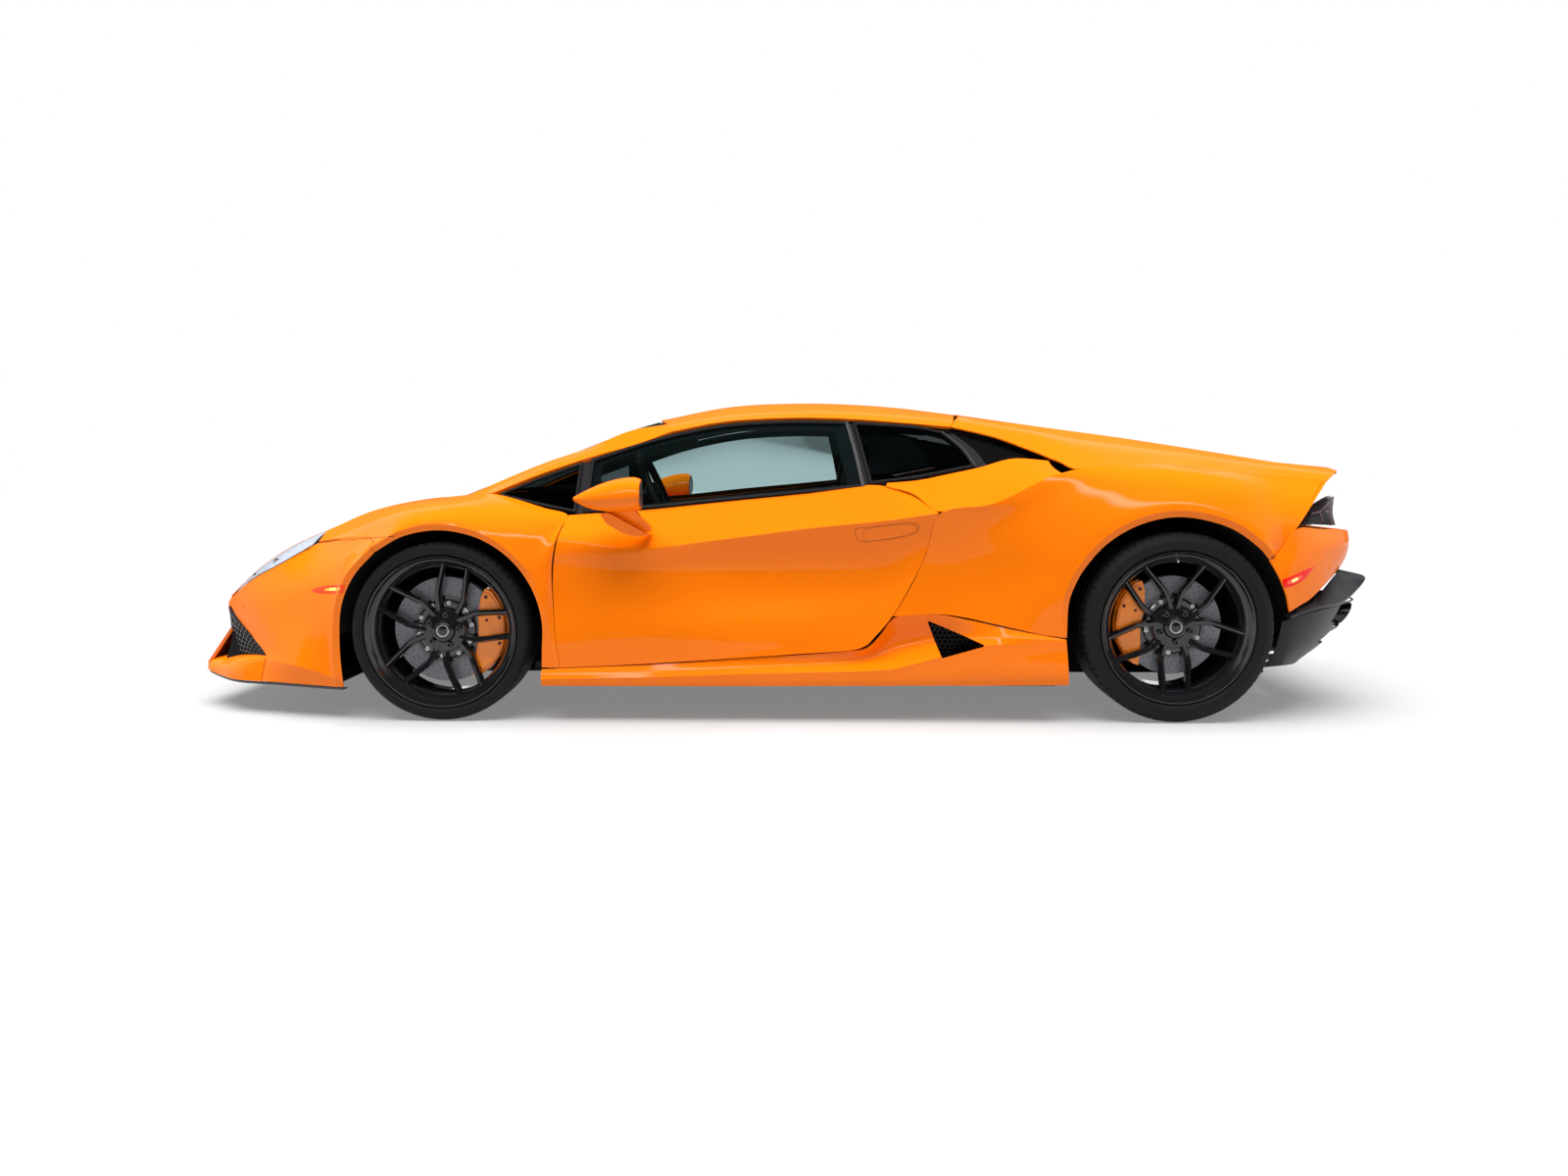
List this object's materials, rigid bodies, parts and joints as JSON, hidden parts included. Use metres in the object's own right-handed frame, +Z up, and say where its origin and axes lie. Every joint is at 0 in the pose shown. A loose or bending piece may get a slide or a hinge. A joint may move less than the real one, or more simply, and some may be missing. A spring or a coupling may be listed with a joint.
{
  "type": "two-seat mid-engine supercar",
  "caption": "Low two-seat mid-engine sports coupe with hinged doors, front lid, engine lid, steered front wheels and free-turning wheels.",
  "frame": {"origin": "on the ground under the centre of the bounding box", "axes": "+X from the nose to the tail, +Y to the right side of the car, +Z up"},
  "size_m": [4.4672, 2.188, 1.1652],
  "materials": {
    "body_paint": "gloss orange paint",
    "carbon_dark": "satin dark composite",
    "underbody_black": "matt black",
    "frame_metal": "satin",
    "engine_metal": "cast",
    "trim_dark": "satin black",
    "seat_leather": "black, soft",
    "grille_black": "matt black mesh",
    "lamp_clear": "clear cover",
    "lamp_red": "red lens",
    "window_glass": "tinted",
    "gloss_black": "gloss black",
    "exhaust_steel": "dark brushed",
    "caliper_paint": "gloss orange",
    "wheel_leather": "black",
    "tyre": "matt black rubber",
    "rim_black": "gloss black",
    "disc_ceramic": "satin grey"
  },
  "bodies": {
    "chassis": {"chassis_tub": "carbon_dark", "underbody": "underbody_black", "subframes": "frame_metal", "engine_block": "engine_metal", "dashboard": "trim_dark", "seats": "seat_leather", "front_bumper": "body_paint", "grilles": "grille_black", "front_fenders": "body_paint", "headlights": "lamp_clear", "roof_panel": "body_paint", "fixed_glass": "window_glass", "side_sills": "body_paint", "rear_fenders": "body_paint", "tail_spoiler": "body_paint", "rear_bumper": "body_paint", "tail_lights": "lamp_red", "rear_diffuser": "gloss_black", "exhaust": "exhaust_steel", "front_suspension": "frame_metal", "rear_suspension": "frame_metal", "rear_calipers": "caliper_paint"},
    "door_left_body": {"door_left": "body_paint", "door_glass_left": "window_glass", "mirror_left": "body_paint"},
    "door_right_body": {"door_right": "body_paint", "door_glass_right": "window_glass", "mirror_right": "body_paint"},
    "front_lid_body": {"front_lid": "body_paint"},
    "engine_lid_body": {"engine_lid": "body_paint"},
    "steering_wheel_body": {"steering_wheel": "wheel_leather"},
    "knuckle_left_body": {"knuckle_front_left": "caliper_paint"},
    "knuckle_right_body": {"knuckle_front_right": "caliper_paint"},
    "wheel_front_left": {"tyre_front_left": "tyre", "rim_front_left": "rim_black", "disc_front_left": "disc_ceramic"},
    "wheel_front_right": {"tyre_front_right": "tyre", "rim_front_right": "rim_black", "disc_front_right": "disc_ceramic"},
    "wheel_rear_left": {"tyre_rear_left": "tyre", "rim_rear_left": "rim_black", "disc_rear_left": "disc_ceramic"},
    "wheel_rear_right": {"tyre_rear_right": "tyre", "rim_rear_right": "rim_black", "disc_rear_right": "disc_ceramic"}
  },
  "joints": [
    {"name": "door_left_hinge", "type": "hinge", "parent": "chassis", "child": "door_left_body", "pos_m": [-0.7305, -0.905, 0.45], "axis": [0, 0, -1], "range_deg": [0, 60]},
    {"name": "door_right_hinge", "type": "hinge", "parent": "chassis", "child": "door_right_body", "pos_m": [-0.7305, 0.905, 0.45], "axis": [0, 0, 1], "range_deg": [0, 60]},
    {"name": "front_lid_hinge", "type": "hinge", "parent": "chassis", "child": "front_lid_body", "pos_m": [-1.2225, 0, 0.798], "axis": [0, 1, 0], "range_deg": [0, 60]},
    {"name": "engine_lid_hinge", "type": "hinge", "parent": "chassis", "child": "engine_lid_body", "pos_m": [0.6835, 0, 1.121], "axis": [0, -1, 0], "range_deg": [0, 55]},
    {"name": "steer_left", "type": "hinge", "parent": "chassis", "child": "knuckle_left_body", "pos_m": [-1.2145, -0.774, 0.321], "axis": [0, 0, 1], "range_deg": [-32, 32]},
    {"name": "steer_right", "type": "hinge", "parent": "chassis", "child": "knuckle_right_body", "pos_m": [-1.2145, 0.774, 0.321], "axis": [0, 0, 1], "range_deg": [-32, 32]},
    {"name": "steering_wheel_turn", "type": "hinge", "parent": "chassis", "child": "steering_wheel_body", "pos_m": [-0.4945, -0.375, 0.8], "axis": [-0.9207, 0, -0.3903], "range_deg": [-320, 320]},
    {"name": "spin_front_left", "type": "hinge", "parent": "knuckle_left_body", "child": "wheel_front_left", "pos_m": [-1.2145, -0.832, 0.321], "axis": [0, 1, 0], "continuous": true},
    {"name": "spin_front_right", "type": "hinge", "parent": "knuckle_right_body", "child": "wheel_front_right", "pos_m": [-1.2145, 0.832, 0.321], "axis": [0, 1, 0], "continuous": true},
    {"name": "spin_rear_left", "type": "hinge", "parent": "chassis", "child": "wheel_rear_left", "pos_m": [1.4055, -0.806, 0.34], "axis": [0, 1, 0], "continuous": true},
    {"name": "spin_rear_right", "type": "hinge", "parent": "chassis", "child": "wheel_rear_right", "pos_m": [1.4055, 0.806, 0.34], "axis": [0, 1, 0], "continuous": true}
  ],
  "couplings": [
    {"joint": "steer_right", "follows": "steer_left", "ratio": 1},
    {"joint": "steering_wheel_turn", "follows": "steer_left", "ratio": -10}
  ]
}
